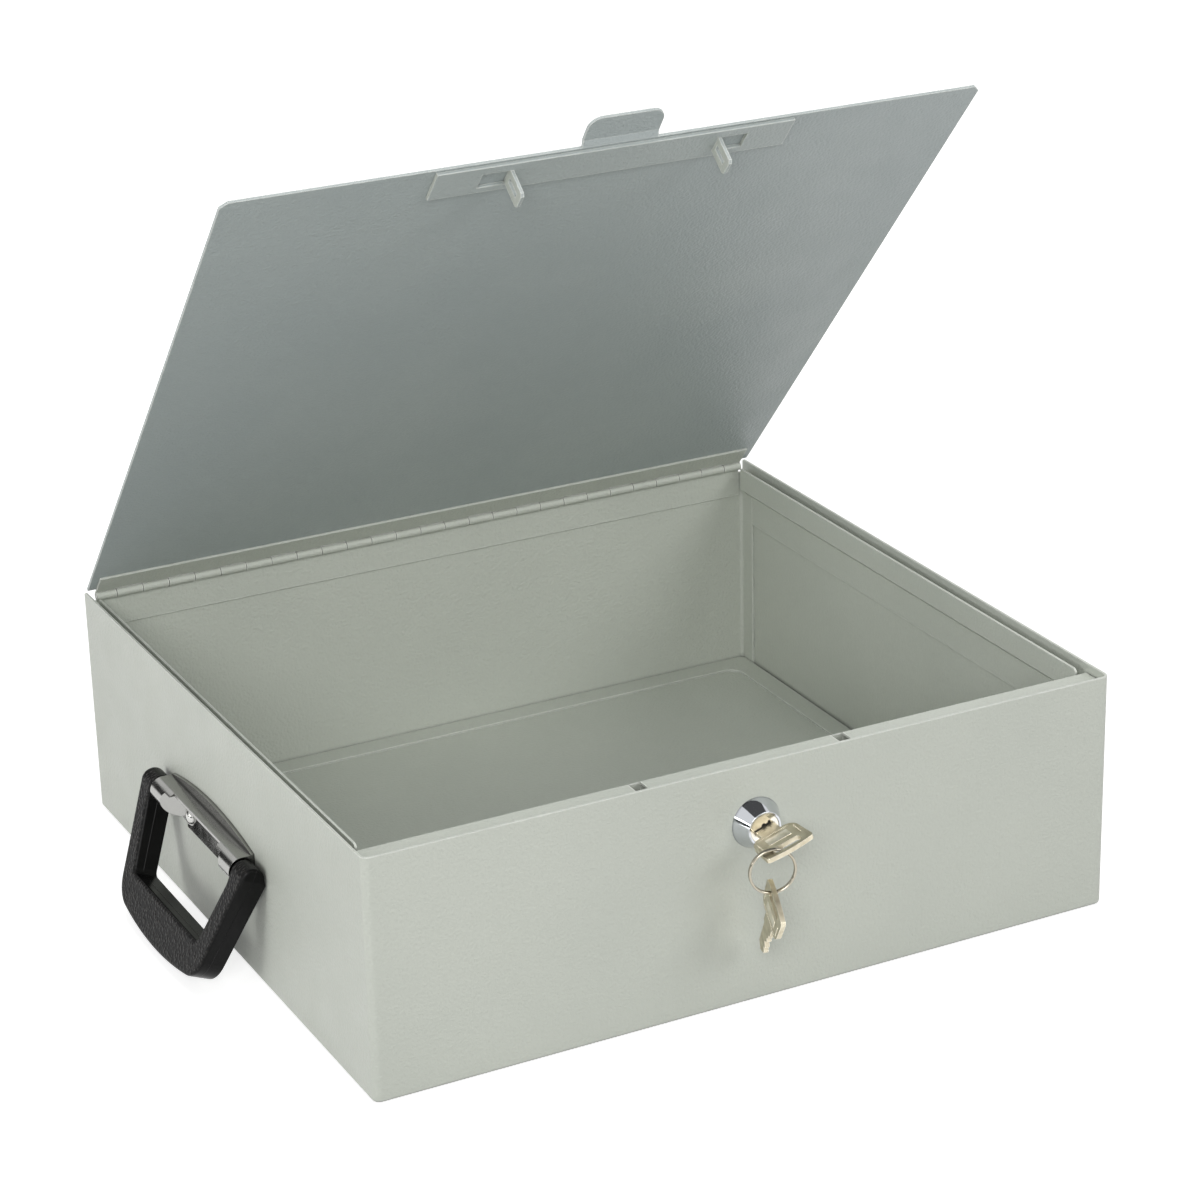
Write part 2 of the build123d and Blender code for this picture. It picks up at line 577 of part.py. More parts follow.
lock_plug.part.label = "lock_plug"

# Cam on the plug's tail, with the stud that drives the bar
with BuildPart() as lock_cam:
    stud_place = Location((-BAR_SHIFT, STUD_Z))
    with BuildSketch(front_plane(CAM_REAR)):
        with Locations((0, LOCK_Z)):
            Circle(CAM_HUB_RADIUS)
        with Locations(stud_place):
            Circle(CAM_TIP_RADIUS)
        make_hull()
        with Locations((0, LOCK_Z)):
            Rectangle(TAIL_SIZE + 2 * HINGE_FIT, TAIL_SIZE + 2 * HINGE_FIT, mode=Mode.SUBTRACT)
    extrude(amount=CAM_THICKNESS)
    stud_end = FORK_REAR + FORK_GAP / 2
    with BuildSketch(front_plane(stud_end)):
        with Locations(stud_place):
            Circle(CAM_STUD_DIAMETER / 2)
    extrude(amount=stud_end - CAM_REAR)
lock_cam.part.label = "lock_cam"

with BuildPart(Plane(origin=(0, CAM_REAR, LOCK_Z), z_dir=(0, 1, 0))) as cam_screw:
    Cylinder(SCREW_HEAD_DIAMETER / 2, SCREW_HEAD_HEIGHT, align=(Align.CENTER, Align.CENTER, Align.MIN))
    chamfer(cam_screw.edges().group_by(Axis.Y)[-1], SCREW_HEAD_HEIGHT / 3)
    Cylinder(SCREW_DIAMETER / 2 - HINGE_FIT, SCREW_LENGTH, align=(Align.CENTER, Align.CENTER, Align.MAX))
cam_screw.part.label = "cam_screw"

# Lock bar: an upright strip with a nose beside each tongue, and a fork that takes the cam's stud
with BuildPart() as lock_bar:
    bar_half = TONGUE_SPACING / 2 + BAR_END
    add_block((-BAR_SHIFT - bar_half, bar_half - BAR_SHIFT), (BAR_FRONT, BAR_BACK), (BAR_BOTTOM, BAR_TOP))
    for middle in TONGUES:
        nose_tip = middle + STRIP_SHEET / 2 + NOSE_REACH - 2 * BAR_SHIFT
        nose_x = (nose_tip - NOSE_LENGTH, nose_tip)
        notch_x = (nose_x[0], nose_tip + TONGUE_WINDOW)
        through = (BAR_FRONT - SHEET, BAR_BACK + SHEET)
        add_block(notch_x, through, (NOTCH_BOTTOM, HEIGHT), Mode.SUBTRACT)
        add_block(nose_x, (BAR_FRONT, BAR_BACK), (NOSE_BOTTOM, NOSE_TOP))
    slot = CAM_STUD_DIAMETER / 2 + STUD_PLAY
    fork_x = (-BAR_SHIFT - slot - FORK_WALL, slot + FORK_WALL - BAR_SHIFT)
    fork_low = STUD_Z - CAM_STUD_DIAMETER / 2 - FORK_HOLD
    add_block(fork_x, (BAR_FRONT, FORK_REAR), (BAR_BOTTOM, BAR_BOTTOM + BAR_WEB))
    add_block(fork_x, (FORK_FRONT, FORK_REAR), (fork_low, BAR_BOTTOM + BAR_WEB))
    slot_y = (FORK_FRONT - SHEET, FORK_REAR + SHEET)
    add_block((-BAR_SHIFT - slot, slot - BAR_SHIFT), slot_y, (fork_low - SHEET, FORK_TOP), Mode.SUBTRACT)
lock_bar.part.label = "lock_bar"

# Two identical straps under the ledge, in which the bar slides
with BuildPart() as bar_guides:
    strap_front = BAR_FRONT - GUIDE_GAP
    strap_back = BAR_BACK + GUIDE_GAP
    strap_top = BAR_BOTTOM - GUIDE_GAP
    for middle in (-GUIDE_SPACING / 2, GUIDE_SPACING / 2):
        strap_x = (middle - GUIDE_WIDTH / 2, middle + GUIDE_WIDTH / 2)
        strap_z = (strap_top - GUIDE_SHEET, LEDGE_UNDER)
        foot_z = (LEDGE_UNDER - GUIDE_SHEET, LEDGE_UNDER)
        add_block(strap_x, (strap_front - GUIDE_SHEET, strap_front), strap_z)
        add_block(strap_x, (strap_back, strap_back + GUIDE_SHEET), strap_z)
        add_block(strap_x, (strap_front - GUIDE_SHEET, strap_back + GUIDE_SHEET), (strap_z[0], strap_top))
        add_block(strap_x, (strap_front - GUIDE_FOOT, strap_front), foot_z)
bar_guides.part.label = "bar_guides"

# Handle bracket: an arched plate and a tube pressed from it, whose middle is pressed back to a pocket
# for the rivets, under an eave and between two closed flares
with BuildPart() as handle_bracket:
    plate_half = BRACKET_LENGTH / 2
    tube = BARREL_DIAMETER / 2
    wall_plane = Plane(origin=(LEFT, HANDLE_Y, HANDLE_AXIS_Z), x_dir=(0, -1, 0), z_dir=(-1, 0, 0))
    with BuildSketch(wall_plane):
        with BuildLine():
            Polyline(
                (-plate_half, BRACKET_RISE),
                (-plate_half, -BRACKET_DROP),
                (plate_half, -BRACKET_DROP),
                (plate_half, BRACKET_RISE),
            )
            ThreePointArc((plate_half, BRACKET_RISE), (0, BRACKET_ARCH), (-plate_half, BRACKET_RISE))
        make_face()
        fillet(vertices().group_by(Axis.Y)[0], BRACKET_RADIUS)
    extrude(amount=BRACKET_SHEET)
    tube_start = (HANDLE_X, HANDLE_Y - plate_half, HANDLE_AXIS_Z)
    tube_end = Plane(origin=tube_start, x_dir=(-1, 0, 0), z_dir=(0, 1, 0))
    with BuildSketch(tube_end):
        Circle(tube)
        with Locations(((HANDLE_X - LEFT) / 2, tube - BRACKET_SHEET / 2)):
            Rectangle(LEFT - HANDLE_X, BRACKET_SHEET)
    extrude(amount=BRACKET_LENGTH)
    for start in (0, plate_half + PLUG_START):
        with BuildSketch(tube_end.offset(start)):
            Circle(tube - BRACKET_SHEET)
        extrude(amount=plate_half - PLUG_START, mode=Mode.SUBTRACT)
    pocket_x = LEFT - 2 * BRACKET_SHEET
    pocket_depth = pocket_x - HANDLE_X + tube
    eave_under = HANDLE_AXIS_Z + tube - BRACKET_SHEET
    with BuildSketch(Plane.XY.offset(eave_under)):
        with BuildLine():
            Polyline(
                (pocket_x, HANDLE_Y - POCKET_INNER / 2),
                (pocket_x - pocket_depth, HANDLE_Y - POCKET_OUTER / 2),
                (pocket_x - pocket_depth, HANDLE_Y + POCKET_OUTER / 2),
                (pocket_x, HANDLE_Y + POCKET_INNER / 2),
                close=True,
            )
        make_face()
    extrude(amount=-HEIGHT, mode=Mode.SUBTRACT)
    eave_half = POCKET_INNER / 2 + BRACKET_SHEET
    eave_y = (HANDLE_Y - eave_half, HANDLE_Y + eave_half)
    front_x = (HANDLE_X - 2 * tube, HANDLE_X - EAVE_REACH)
    add_block(front_x, eave_y, (HANDLE_AXIS_Z, HANDLE_AXIS_Z + 2 * tube), Mode.SUBTRACT)
    layer_z = (HANDLE_AXIS_Z - BRACKET_DROP, eave_under)
    layer_half = POCKET_INNER / 2
    add_block((pocket_x, LEFT), (HANDLE_Y - layer_half, HANDLE_Y + layer_half), layer_z)
    cut_rivet_holes()
handle_bracket.part.label = "handle_bracket"

# Two identical rivets with domed heads outside and flat tails inside the wall
with BuildPart() as handle_rivets:
    for x, y, z in RIVETS:
        head = -2 * BRACKET_SHEET
        with BuildSketch(Plane(origin=(x, y, z), x_dir=(1, 0, 0), z_dir=(0, -1, 0))):
            with BuildLine():
                shoulder = RIVET_SHOULDER * RIVET_HEAD_DIAMETER / 2
                dome = (head - RIVET_CROWN * RIVET_HEAD_HEIGHT, shoulder)
                ThreePointArc((head - RIVET_HEAD_HEIGHT, 0), dome, (head, RIVET_HEAD_DIAMETER / 2))
                Polyline(
                    (head, RIVET_HEAD_DIAMETER / 2),
                    (head, RIVET_DIAMETER / 2),
                    (SHEET, RIVET_DIAMETER / 2),
                    (SHEET, RIVET_DIAMETER / 2 + RIVET_TAIL_HEIGHT),
                    (SHEET + RIVET_TAIL_HEIGHT, RIVET_DIAMETER / 2),
                    (SHEET + RIVET_TAIL_HEIGHT, 0),
                    (head - RIVET_HEAD_HEIGHT, 0),
                )
            make_face()
        revolve(axis=Axis((x, y, z), (1, 0, 0)))
handle_rivets.part.label = "handle_rivets"

# Grip: a tapered loop with a bowed lower bar, round at the top, and a trunnion inside each end of the tube
with BuildPart() as handle_grip:
    low = GRIP_OUTER - GRIP_INSET
    opening = GRIP_INNER - OPENING_INSET
    shoulder = BARREL_DIAMETER / 2 + GRIP_GAP
    opening_drop = GRIP_DROP - GRIP_BAR
    low_drop = GRIP_DROP - GRIP_BOW
    with BuildSketch(grip_frame.offset(-GRIP_BACK)):
        with BuildLine():
            Polyline(
                (-low, -low_drop),
                (-GRIP_OUTER, 0),
                (-GRIP_OUTER, GRIP_THICKNESS),
                (-GRIP_INNER, GRIP_THICKNESS),
                (-GRIP_INNER, -shoulder),
                (-opening, -opening_drop),
                (opening, -opening_drop),
                (GRIP_INNER, -shoulder),
                (GRIP_INNER, GRIP_THICKNESS),
                (GRIP_OUTER, GRIP_THICKNESS),
                (GRIP_OUTER, 0),
                (low, -low_drop),
            )
            ThreePointArc((low, -low_drop), (0, -GRIP_DROP), (-low, -low_drop))
        make_face()
        fillet(vertices().filter_by(lambda v: abs(v.Y + opening_drop) < 1), OPENING_RADIUS)
        fillet(vertices().filter_by(lambda v: abs(v.Y + low_drop) < 1), GRIP_CORNER_RADIUS)
    extrude(amount=GRIP_THICKNESS)
    with BuildSketch(grip_side.offset(-GRIP_OUTER)):
        bottom = -GRIP_DROP - SHEET
        with BuildLine():
            Polyline(
                (-GRIP_BACK, 0),
                (-GRIP_BACK, bottom),
                (GRIP_FRONT - GRIP_TAPER, bottom),
                (GRIP_FRONT, 0),
                close=True,
            )
        make_face()
        with Locations((GRIP_FRONT - GRIP_ROUND, 0)):
            Circle(GRIP_ROUND)
        make_hull()
    extrude(amount=2 * GRIP_OUTER, mode=Mode.INTERSECT)
    forward = handle_grip.faces().filter_by(lambda f: f.normal_at().dot(Vector(handle_out)) > 0.9)
    grip_face = forward.sort_by(SortBy.AREA)[-1]
    tops = handle_grip.faces().filter_by(GeomType.CYLINDER)
    tops = tops.filter_by(lambda f: abs(f.radius - GRIP_ROUND) < GRIP_GAP)
    top_edges = ShapeList([e for face in tops for e in face.edges()])
    sides = grip_face.edges() - top_edges
    fillet(sides + top_edges.filter_by(GeomType.CIRCLE), GRIP_EDGE)
    trunnion = BARREL_DIAMETER / 2 - BRACKET_SHEET - TRUNNION_FIT
    for start in (-GRIP_INNER - SHEET, GRIP_INNER - TRUNNION_LENGTH):
        with BuildSketch(grip_side.offset(start)):
            Circle(trunnion)
        extrude(amount=TRUNNION_LENGTH + SHEET)
handle_grip.part.label = "handle_grip"


def key_blank(plane):
    """A flat key in the plane, blade towards the plane's own +Y, bow and eye towards its -Y."""
    blade = BLADE_WIDTH / 2
    blade_end = BLADE_LENGTH - KEY_FIT
    near = -SHANK_LENGTH
    far = -SHANK_LENGTH - BOW_DEPTH + BOW_BULGE
    with BuildPart() as blank:
        with BuildSketch(plane.offset(-KEY_SHEET / 2)):
            with BuildLine():
                Polyline(
                    (-BOW_WIDTH / 2, far),
                    (-BOW_NEAR_WIDTH / 2, near),
                    (BOW_NEAR_WIDTH / 2, near),
                    (BOW_WIDTH / 2, far),
                )
                ThreePointArc((BOW_WIDTH / 2, far), (0, far - BOW_BULGE), (-BOW_WIDTH / 2, far))
            make_face()
            fillet(vertices().group_by(Axis.Y)[-1], BOW_NEAR_RADIUS)
            fillet(vertices().group_by(Axis.Y)[0], BOW_FAR_RADIUS)
            with Locations((0, -(SHANK_LENGTH + SHEET + KEY_FACE_GAP) / 2)):
                Rectangle(SHANK_WIDTH, SHANK_LENGTH + SHEET - KEY_FACE_GAP)
            with BuildLine():
                Polyline(
                    (-blade, -SHANK_LENGTH),
                    (-blade, blade_end - BLADE_TIP),
                    (0, blade_end),
                    (blade, blade_end - BLADE_TIP),
                    (blade, -SHANK_LENGTH),
                    close=True,
                )
            make_face()
            with Locations((0, EYE_Y)):
                SlotOverall(EYE_LENGTH, EYE_WIDTH, mode=Mode.SUBTRACT)
            for index, depth in enumerate(CUT_DEPTHS):
                with Locations((blade, CUT_PITCH * (index + 1))):
                    Rectangle(2 * depth, 2 * depth, rotation=45, mode=Mode.SUBTRACT)
        extrude(amount=KEY_SHEET)
    return blank


key = key_blank(key_frame)
key.part.label = "key"
spare_key = key_blank(spare_frame)
spare_key.part.label = "spare_key"

# Split ring: two turns of wire pressed together
with BuildPart() as key_ring:
    with BuildSketch(Plane(origin=ring_middle, x_dir=ring_frame.x_dir, z_dir=(0, 0, 1))):
        with Locations((RING_RADIUS, -RING_PITCH / 2), (RING_RADIUS, RING_PITCH / 2)):
            Circle(RING_WIRE / 2)
    revolve(axis=Axis(ring_middle, ring_frame.y_dir))
key_ring.part.label = "key_ring"

os.makedirs("parts", exist_ok=True)
for piece in (
    outer_shell,
    floor_panel,
    rear_wall,
    left_rail,
    right_rail,
    front_ledge,
    body_hinge_leaf,
    lid_hinge_leaf,
    hinge_pin,
    lid_panel,
    hasp_strip,
    lock_housing,
    lock_nut,
    lock_plug,
    lock_cam,
    cam_screw,
    lock_bar,
    bar_guides,
    handle_bracket,
    handle_rivets,
    handle_grip,
    key,
    spare_key,
    key_ring,
):
    export_step(piece.part, f"parts/{piece.part.label}.step")
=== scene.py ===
"""The looks of the lockable file box: its materials and fine detail, and the stage, lamps and camera."""
import math

import bmesh
import bpy
from mathutils import Matrix, Vector


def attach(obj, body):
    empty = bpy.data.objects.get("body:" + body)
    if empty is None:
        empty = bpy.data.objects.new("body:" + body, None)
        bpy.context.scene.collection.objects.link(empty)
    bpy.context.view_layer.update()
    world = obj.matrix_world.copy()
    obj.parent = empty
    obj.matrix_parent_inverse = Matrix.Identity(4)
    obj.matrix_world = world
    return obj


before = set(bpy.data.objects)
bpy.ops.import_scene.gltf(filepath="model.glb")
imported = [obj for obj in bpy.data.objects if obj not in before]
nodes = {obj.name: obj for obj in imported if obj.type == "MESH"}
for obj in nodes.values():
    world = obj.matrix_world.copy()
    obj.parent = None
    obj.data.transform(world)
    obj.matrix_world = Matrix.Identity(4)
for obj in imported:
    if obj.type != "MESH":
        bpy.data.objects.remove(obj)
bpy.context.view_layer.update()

# Directions and places that the CAD gives
HANDLE_ANGLE = math.radians(23.8)
HANDLE_OUT = (-math.cos(HANDLE_ANGLE), 0.0, math.sin(HANDLE_ANGLE))
HANDLE_AXIS = Vector((-0.17595, 0.005, 0.053))
LID_OPEN = math.radians(48.6)
# LID_OUT and TONGUE_OUT pick the faces that keep the body's paint; the rest of the lid and hasp carry
# painted shade
LID_OUT = (0.0, math.sin(LID_OPEN), math.cos(LID_OPEN))
TONGUE_OUT = (-1.0, 0.0, 0.0)
KEY_TILT = math.radians(17.0)
KEY_FACE = Vector((0.0, -0.161, 0.080))
SPARE_TURN = math.radians(-13.0)
SPARE_LEAN = math.radians(32.0)
SPARE_SEAT = Vector((-0.00650835, -0.1783, 0.0704559))

# Colours, linear
PAINT = (0.555, 0.580, 0.520)
PAINT_SHADE = (0.520, 0.546, 0.490)
# Painted highlight along the edges, partly worn thin coat
EDGE_WEAR_AND_HIGHLIGHT = (0.880, 0.900, 0.850)
# Painted shade in the corners and joints of the paint
PAINT_CREVICE_SHADE = (0.150, 0.158, 0.140)
# Painted shade: the lid and hasp are in the body's paint, darkened and cooled where they face away from
# the lamps
LID_PAINTED_SHADE = (0.420, 0.464, 0.458)
LID_PAINTED_SHADE_DARKER = (0.385, 0.430, 0.430)
HASP_PAINTED_SHADE = (0.450, 0.492, 0.480)
HASP_PAINTED_SHADE_DARKER = (0.415, 0.458, 0.450)
CHROME = (0.60, 0.62, 0.65)
RIVET_STEEL = (0.55, 0.55, 0.53)
BRACKET_STEEL = (0.37, 0.37, 0.355)
# Painted shade in the corners of the plating
PLATE_CREVICE_SHADE = (0.06, 0.06, 0.055)
NICKEL = (0.95, 0.90, 0.79)
RING_STEEL = (0.42, 0.39, 0.32)
KEY_METAL = (0.68, 0.63, 0.49)
KEY_SHADE = (0.50, 0.45, 0.33)
ZINC = (0.50, 0.50, 0.48)
BLACK = (0.005, 0.005, 0.005)
# Painted shade that stands for the inside of the keyway
KEYWAY_SHADE_COLOUR = (0.03, 0.028, 0.025)
# Painted highlight on the tops of the grain's domes
GRAIN_DOME_HIGHLIGHT = (0.032, 0.030, 0.028)

# Sizes of the surface detail, in metres, and the scales of its noise, in waves per metre
COAT_EDGE = 0.0003
COAT_WEAR_AND_HIGHLIGHT = 0.0008
COAT_CORNER = 0.003
PEEL_SCALE = 760.0
PEEL_DEPTH = 0.0005
PEEL_STRENGTH = 0.8
SHEET_WAVE_SCALE = 26.0
SHEET_WAVE_DEPTH = 0.00035
SPECK_SCALE = 3100.0
CLOUD_SCALE = 11.0
WEAR_SCALE = 160.0
GLOSS_SCALE = 60.0
PLATE_EDGE = 0.00012
PLATE_CORNER = 0.0014
PLATE_WAVE_SCALE = 120.0
PLATE_WEAR_DEPTH = 0.000005
KEY_EDGE = 0.0002
KEY_RUB = 0.0003
KEY_GRAIN_SCALE = 2600.0
KEY_GRAIN_DEPTH = 0.00006
KEY_CLOUD_SCALE = 240.0
GRIP_EDGE = 0.0003
GRIP_CELL_SCALE = 680.0
GRIP_CELL_WARP = 0.0012
GRIP_CELL_DEPTH = 0.0005
GRIP_FINE_SCALE = 5200.0
GRIP_FINE_DEPTH = 0.000012
SEAM_NEAR = 0.00005
SEAM_FAR = 0.00022
SEAM_DEPTH = 0.00012
CELL_SMOOTHNESS = 0.6
WARP_SHARE = 0.6


# Node helpers

class Shader:
    """A node material under construction, with object coordinates that move with the piece."""

    def __init__(self, name):
        self.material = bpy.data.materials.new(name)
        self.material.use_nodes = True
        self.tree = self.material.node_tree
        self.bsdf = self.tree.nodes["Principled BSDF"]
        self.place = self.add("ShaderNodeTexCoord").outputs["Object"]

    def add(self, kind, **settings):
        node = self.tree.nodes.new(kind)
        for key, value in settings.items():
            setattr(node, key, value)
        return node

    def link(self, source, target):
        self.tree.links.new(source, target)

    def noise(self, scale, detail=2.0, roughness=0.5):
        node = self.add("ShaderNodeTexNoise")
        node.inputs["Scale"].default_value = scale
        node.inputs["Detail"].default_value = detail
        node.inputs["Roughness"].default_value = roughness
        self.link(self.place, node.inputs["Vector"])
        return node.outputs["Fac"]

    def cells(self, scale, warp):
        """Rounded cells, as in moulded leather grain, pushed out of line by the warp."""
        node = self.add("ShaderNodeTexVoronoi", feature="SMOOTH_F1")
        node.inputs["Scale"].default_value = scale
        node.inputs["Smoothness"].default_value = CELL_SMOOTHNESS
        field = self.add("ShaderNodeTexNoise")
        field.inputs["Scale"].default_value = scale * WARP_SHARE
        self.link(self.place, field.inputs["Vector"])
        shift = self.add("ShaderNodeVectorMath", operation="MULTIPLY_ADD")
        self.link(field.outputs["Color"], shift.inputs[0])
        shift.inputs[1].default_value = (warp, warp, warp)
        self.link(self.place, shift.inputs[2])
        self.link(shift.outputs["Vector"], node.inputs["Vector"])
        return node.outputs["Distance"]

    def remap(self, value, low, high, to_low, to_high):
        node = self.add("ShaderNodeMapRange")
        self.link(value, node.inputs["Value"])
        ends = {"From Min": low, "From Max": high, "To Min": to_low, "To Max": to_high}
        for socket, number in ends.items():
            node.inputs[socket].default_value = number
        return node.outputs["Result"]

    def mix(self, factor, first, second):
        node = self.add("ShaderNodeMix", data_type="RGBA")
        self.link(factor, node.inputs["Factor"])
        for socket, value in ((node.inputs[6], first), (node.inputs[7], second)):
            if isinstance(value, tuple):
                socket.default_value = (*value, 1.0)
            else:
                self.link(value, socket)
        return node.outputs[2]

    def multiply(self, first, second):
        node = self.add("ShaderNodeMath", operation="MULTIPLY")
        for socket, value in zip(node.inputs, (first, second)):
            if isinstance(value, float):
                socket.default_value = value
            else:
                self.link(value, socket)
        return node.outputs[0]

    def facing(self, direction, low, high):
        """1 where the surface faces the direction in the piece's own frame, 0 where it doesn't."""
        coordinates = self.add("ShaderNodeTexCoord")
        dot = self.add("ShaderNodeVectorMath", operation="DOT_PRODUCT")
        self.link(coordinates.outputs["Normal"], dot.inputs[0])
        dot.inputs[1].default_value = direction
        return self.remap(dot.outputs["Value"], low, high, 0.0, 1.0)

    def bump(self, height, distance, strength=1.0, under=None):
        node = self.add("ShaderNodeBump")
        node.inputs["Distance"].default_value = distance
        if isinstance(strength, float):
            node.inputs["Strength"].default_value = strength
        else:
            self.link(strength, node.inputs["Strength"])
        self.link(height, node.inputs["Height"])
        if under is not None:
            self.link(under, node.inputs["Normal"])
        return node.outputs["Normal"]

    def soft_edges(self, radius):
        node = self.add("ShaderNodeBevel", samples=4)
        node.inputs["Radius"].default_value = radius
        return node.outputs["Normal"]

    def along_edges(self, width):
        """1 along the edges, fading to 0 at this distance from them."""
        geometry = self.add("ShaderNodeNewGeometry")
        dot = self.add("ShaderNodeVectorMath", operation="DOT_PRODUCT")
        self.link(geometry.outputs["Normal"], dot.inputs[0])
        self.link(self.soft_edges(width), dot.inputs[1])
        return self.remap(dot.outputs["Value"], 0.998, 0.93, 0.0, 1.0)

    def crevice_shade(self, reach, open_share, shut_share):
        """A mask for painted shade: 0 in the open, 1 in the corners and joints that this reach finds shut
        in.
        """
        node = self.add("ShaderNodeAmbientOcclusion", samples=4)
        node.inputs["Distance"].default_value = reach
        return self.remap(node.outputs["AO"], open_share, shut_share, 0.0, 1.0)

    def beside_plane(self, direction, point, near, far):
        """1 within a thin slice through the point, square to the direction, 0 beyond it."""
        dot = self.add("ShaderNodeVectorMath", operation="DOT_PRODUCT")
        self.link(self.place, dot.inputs[0])
        dot.inputs[1].default_value = direction
        offset = self.add("ShaderNodeMath", operation="SUBTRACT")
        self.link(dot.outputs["Value"], offset.inputs[0])
        offset.inputs[1].default_value = Vector(direction).dot(point)
        size = self.add("ShaderNodeMath", operation="ABSOLUTE")
        self.link(offset.outputs[0], size.inputs[0])
        return self.remap(size.outputs[0], near, far, 1.0, 0.0)

    def finish(self, colour, roughness, normal=None, metallic=0.0):
        for socket, value in (("Base Color", colour), ("Roughness", roughness)):
            if isinstance(value, tuple):
                self.bsdf.inputs[socket].default_value = (*value, 1.0)
            elif isinstance(value, float):
                self.bsdf.inputs[socket].default_value = value
            else:
                self.link(value, self.bsdf.inputs[socket])
        self.bsdf.inputs["Metallic"].default_value = metallic
        if normal is not None:
            self.link(normal, self.bsdf.inputs["Normal"])
        return self.material


# Materials

def powder_coat(name, colour, shade, unshaded_side=None):
    """Orange-peel powder coat, with painted shade in its hollows and corners, thin and worn on its edges
    under a painted highlight, and in the body's paint on the faces towards the unshaded side.
    """
    s = Shader(name)
    soft = s.soft_edges(COAT_EDGE)
    lumps = s.noise(PEEL_SCALE)
    cloud = s.remap(s.noise(CLOUD_SCALE), 0.35, 0.65, 0.0, 1.0)
    speck = s.remap(s.noise(SPECK_SCALE, 1.0), 0.45, 0.75, 0.0, 0.4)
    # Painted shade: the hollows of the orange peel are painted darker than its lumps.
    hollow = s.remap(lumps, 0.3, 0.6, 0.6, 0.0)
    tone = s.mix(speck, s.mix(cloud, shade, colour), shade)
    tone = s.mix(hollow, tone, shade)
    # Lit and shaded copies of one paint: faces towards this direction take the body's paint, the rest keep
    # the darker colours given, which are painted shade.
    if unshaded_side is not None:
        tone = s.mix(s.facing(unshaded_side, 0.3, 0.7), tone, PAINT_SHADE)
    # Painted highlight along the edges, partly worn thin coat: the edges are painted paler, in patches.
    worn_and_highlit = s.remap(s.noise(WEAR_SCALE), 0.3, 0.7, 0.55, 0.9)
    tone = s.mix(s.multiply(s.along_edges(COAT_WEAR_AND_HIGHLIGHT), worn_and_highlit), tone, EDGE_WEAR_AND_HIGHLIGHT)
    # Painted shade: corners and joints that the occlusion finds shut in are painted darker.
    tone = s.mix(s.multiply(s.crevice_shade(COAT_CORNER, 0.60, 0.20), 0.8), tone, PAINT_CREVICE_SHADE)
    gloss = s.remap(s.noise(GLOSS_SCALE), 0.3, 0.7, 0.38, 0.48)
    peel = s.bump(lumps, PEEL_DEPTH, PEEL_STRENGTH, soft)
    waves = s.bump(s.noise(SHEET_WAVE_SCALE), SHEET_WAVE_DEPTH, 0.3, peel)
    return s.finish(tone, gloss, waves)


def plated(name, colour, low, high, grain, depth):
    """Bright plating with faint waviness and fine wear, and painted shade in its corners."""
    s = Shader(name)
    wear = s.noise(grain)
    # Painted shade: the plating's corners and joints are painted darker.
    colour = s.mix(s.multiply(s.crevice_shade(PLATE_CORNER, 0.97, 0.60), 0.8), colour, PLATE_CREVICE_SHADE)
    gloss = s.remap(wear, 0.3, 0.75, low, high)
    wavy = s.bump(s.noise(PLATE_WAVE_SCALE, 1.0), depth, 0.5, s.soft_edges(PLATE_EDGE))
    return s.finish(colour, gloss, s.bump(wear, PLATE_WEAR_DEPTH, 0.4, wavy), 1.0)


def stamped(name, colour, shade):
    """Nickel-silver key metal: matt from the die, rubbed bright along its edges."""
    s = Shader(name)
    soft = s.soft_edges(KEY_EDGE)
    grain = s.noise(KEY_GRAIN_SCALE, 3.0, 0.6)
    cloud = s.remap(s.noise(KEY_CLOUD_SCALE), 0.35, 0.7, 0.0, 1.0)
    rubbed = s.along_edges(KEY_RUB)
    tone = s.mix(rubbed, s.mix(cloud, colour, shade), NICKEL)
    matt = s.remap(grain, 0.3, 0.7, 0.30, 0.46)
    gloss = s.mix(rubbed, matt, (0.16, 0.16, 0.16))
    return s.finish(tone, gloss, s.bump(grain, KEY_GRAIN_DEPTH, 0.6, soft), 1.0)


def moulded_grain(name):
    """Black plastic, leather-grained on the outer face and satin on its sides, with a parting line."""
    s = Shader(name)
    outer = s.facing(HANDLE_OUT, 0.45, 0.8)
    cells = s.cells(GRIP_CELL_SCALE, GRIP_CELL_WARP)
    domes = s.remap(cells, 0.05, 0.55, 1.0, 0.0)
    fine = s.noise(GRIP_FINE_SCALE)
    # Painted highlight and shade: the domes of the grain are painted lighter than the valleys between
    # them.
    tone = s.mix(s.multiply(outer, domes), BLACK, GRAIN_DOME_HIGHLIGHT)
    gloss = s.mix(outer, (0.26, 0.26, 0.26), (0.44, 0.44, 0.44))
    grained = s.bump(domes, GRIP_CELL_DEPTH, s.multiply(outer, 0.9), s.soft_edges(GRIP_EDGE))
    line = s.beside_plane(HANDLE_OUT, HANDLE_AXIS, SEAM_NEAR, SEAM_FAR)
    seam = s.bump(line, SEAM_DEPTH, 0.8, grained)
    s.bsdf.inputs["Specular IOR Level"].default_value = 0.12
    return s.finish(tone, gloss, s.bump(fine, GRIP_FINE_DEPTH, 0.4, seam))


grey_paint = powder_coat("grey_powder_coat", PAINT, PAINT_SHADE)
# Painted shade: the lid's underside is the body's paint darkened; the faces towards LID_OUT take the
# body's paint.
lid_painted_shade_coat = powder_coat("lid_coat_in_painted_shade", LID_PAINTED_SHADE, LID_PAINTED_SHADE_DARKER, LID_OUT)
